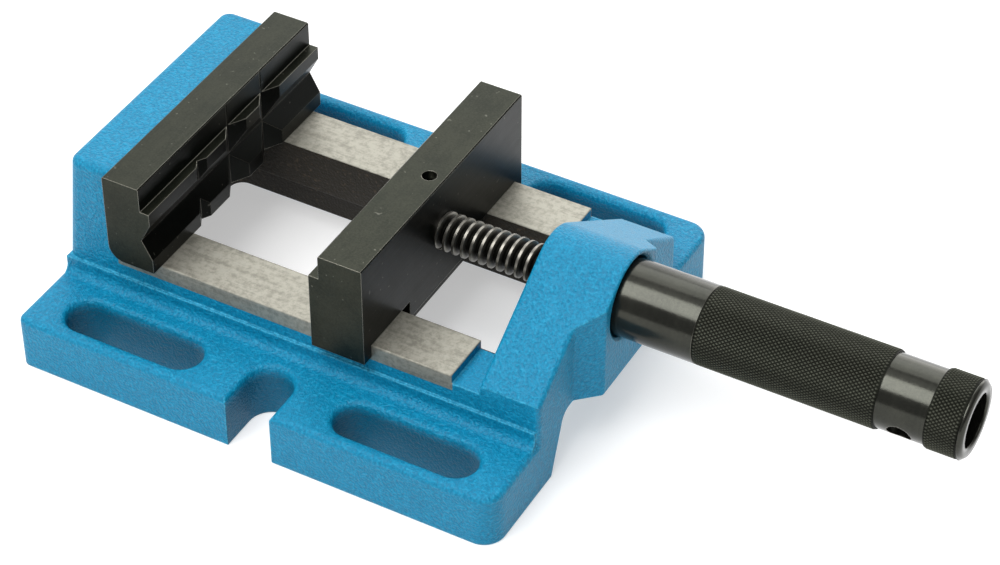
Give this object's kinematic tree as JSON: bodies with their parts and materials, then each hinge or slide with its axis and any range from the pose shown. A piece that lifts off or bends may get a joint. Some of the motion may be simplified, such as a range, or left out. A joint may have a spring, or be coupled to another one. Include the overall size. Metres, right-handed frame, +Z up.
{
  "type": "machine vise",
  "caption": "Low cast machine vise with a slotted clamping flange, a prismatic fixed jaw, a sliding jaw on two ways and a hollow knurled handle that turns as the nut.",
  "frame": {"origin": "centre of the base's footprint, on its underside, which is the centre of the slotted bolt pattern", "axes": "+X along the spindle towards the handle, +Y across the ways, +Z up"},
  "size_m": [0.3676, 0.185, 0.0848],
  "materials": {
    "blue_paint": "gloss enamel over rough casting",
    "black_oxide": "black oxide, ground",
    "turned_black": "black oxide, turned and knurled",
    "bright_steel": "bright turned",
    "screw_steel": "black oxide",
    "bronze": "turned bronze"
  },
  "bodies": {
    "base": {"base_casting": "blue_paint", "fixed_jaw": "black_oxide", "fixed_jaw_screws": "screw_steel", "fixed_jaw_dowels": "bright_steel", "bearing_bush": "bronze", "bush_set_screw": "screw_steel", "inner_thrust_washer": "bright_steel", "outer_thrust_washer": "bright_steel"},
    "jaw": {"moving_jaw": "black_oxide", "keeper_plate": "black_oxide", "keeper_screws": "screw_steel", "keeper_washers": "bright_steel", "spindle": "turned_black", "spindle_pin": "bright_steel", "spindle_stop_washer": "bright_steel", "spindle_stop_screw": "screw_steel"},
    "handle": {"handle_sleeve": "turned_black", "retaining_collar": "turned_black", "collar_pin": "bright_steel"}
  },
  "joints": [
    {"name": "handle_spin", "type": "hinge", "parent": "base", "child": "handle", "pos_m": [0.1, 0, 0.06], "axis": [1, 0, 0], "range_deg": [-6525.5, 4158.5]},
    {"name": "jaw_slide", "type": "slide", "parent": "base", "child": "jaw", "axis": [1, 0, 0], "range_m": [-0.0725, 0.0462]}
  ],
  "couplings": [
    {"joint": "handle_spin", "follows": "jaw_slide", "rad_per_m": 1570.8}
  ]
}
